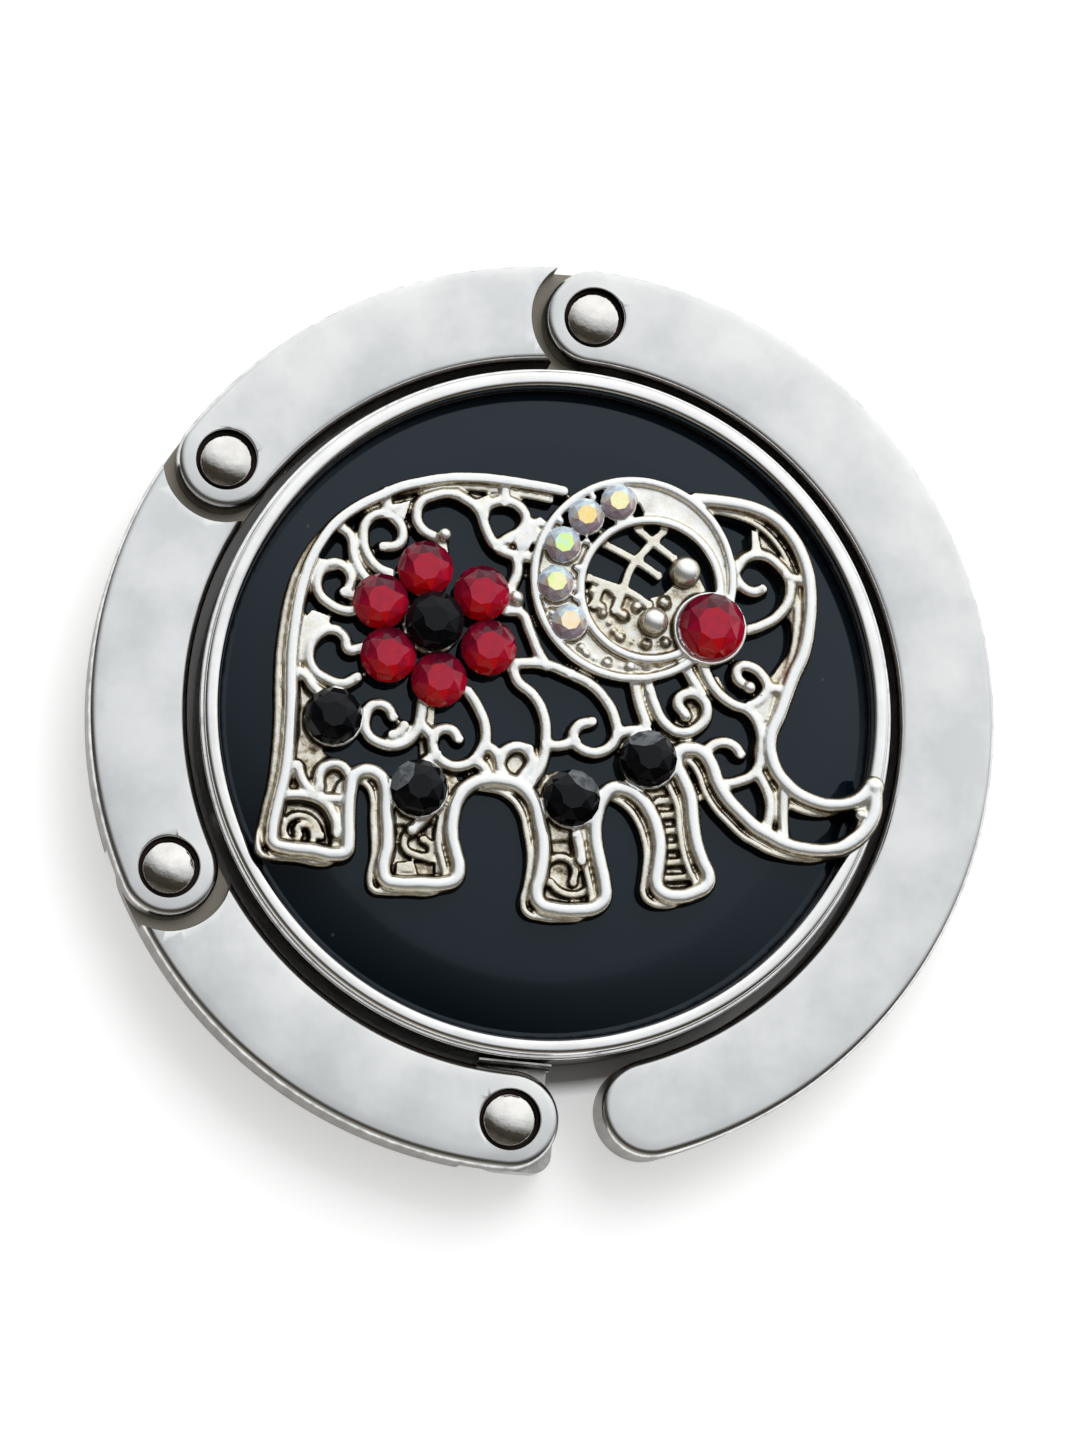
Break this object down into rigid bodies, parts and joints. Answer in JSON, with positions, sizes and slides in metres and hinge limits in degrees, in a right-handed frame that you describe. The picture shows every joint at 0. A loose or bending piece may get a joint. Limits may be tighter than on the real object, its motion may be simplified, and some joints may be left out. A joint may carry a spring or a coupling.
{
  "type": "folding purse hook",
  "caption": "Folding round purse hook: a padded table disc with a jewelled elephant, ringed by riveted links that swivel down and unroll into a bag hook.",
  "frame": {"origin": "middle of the rubber pad's underside, on the disc's axis", "axes": "+Z out of the decorated face, +Y up as the elephant stands, +X towards its trunk; the ring lies folded round the disc"},
  "size_m": [0.045, 0.045, 0.0079],
  "materials": {
    "silver_plate": "satin silver-coloured plate over cast zinc, lightly mottled",
    "antique_silver": "cast silver-coloured plate with dark wash left in the recesses",
    "rivet_steel": "polished domed heads",
    "black_enamel": "glossy poured black enamel",
    "black_rubber": "matt, slightly tacky",
    "red_crystal": "foil-backed cut glass, deep red",
    "black_crystal": "foil-backed cut glass, black",
    "aurora_crystal": "foil-backed cut glass with a yellow to green rainbow coat"
  },
  "bodies": {
    "disc": {"disc_cup": "silver_plate", "enamel_inlay": "black_enamel", "table_pad": "black_rubber", "elephant_plate": "antique_silver", "red_petal_1": "red_crystal", "red_petal_2": "red_crystal", "red_petal_3": "red_crystal", "red_petal_4": "red_crystal", "red_petal_5": "red_crystal", "red_petal_6": "red_crystal", "flower_centre_stone": "black_crystal", "cheek_stone": "red_crystal", "ear_stone_1": "aurora_crystal", "ear_stone_2": "aurora_crystal", "ear_stone_3": "aurora_crystal", "ear_stone_4": "aurora_crystal", "ear_stone_5": "aurora_crystal", "black_stone_1": "black_crystal", "black_stone_2": "black_crystal", "black_stone_3": "black_crystal", "black_stone_4": "black_crystal"},
    "lug": {"swivel_lug": "silver_plate", "swivel_collar": "rivet_steel", "swivel_washer": "rivet_steel", "rivet_1": "rivet_steel"},
    "first_link": {"link_a": "silver_plate", "rivet_2": "rivet_steel"},
    "second_link": {"link_b": "silver_plate", "rivet_3": "rivet_steel"},
    "third_link": {"link_c": "silver_plate", "rivet_4": "rivet_steel"},
    "hook": {"hook_arm": "silver_plate"}
  },
  "joints": [
    {"name": "swivel", "type": "hinge", "parent": "disc", "child": "lug", "pos_m": [0, 0, 0.0026], "axis": [-0.0872, -0.9962, 0], "range_deg": [0, 90]},
    {"name": "lug_hinge", "type": "hinge", "parent": "lug", "child": "first_link", "pos_m": [-0.00175, -0.02, 0], "axis": [0, 0, 1], "range_deg": [0, 34]},
    {"name": "link_ab_hinge", "type": "hinge", "parent": "first_link", "child": "second_link", "pos_m": [-0.01848, -0.00784, 0], "axis": [0, 0, 1], "range_deg": [0, 14]},
    {"name": "link_bc_hinge", "type": "hinge", "parent": "second_link", "child": "third_link", "pos_m": [-0.01582, 0.01236, 0], "axis": [0, 0, 1], "range_deg": [0, 40]},
    {"name": "hook_hinge", "type": "hinge", "parent": "third_link", "child": "hook", "pos_m": [0.00245, 0.01993, 0], "axis": [0, 0, 1], "range_deg": [0, 80]}
  ],
  "couplings": [
    {"joint": "link_bc_hinge", "follows": "hook_hinge", "ratio": 0.5},
    {"joint": "link_ab_hinge", "follows": "hook_hinge", "ratio": 0.175},
    {"joint": "lug_hinge", "follows": "hook_hinge", "ratio": 0.425}
  ]
}
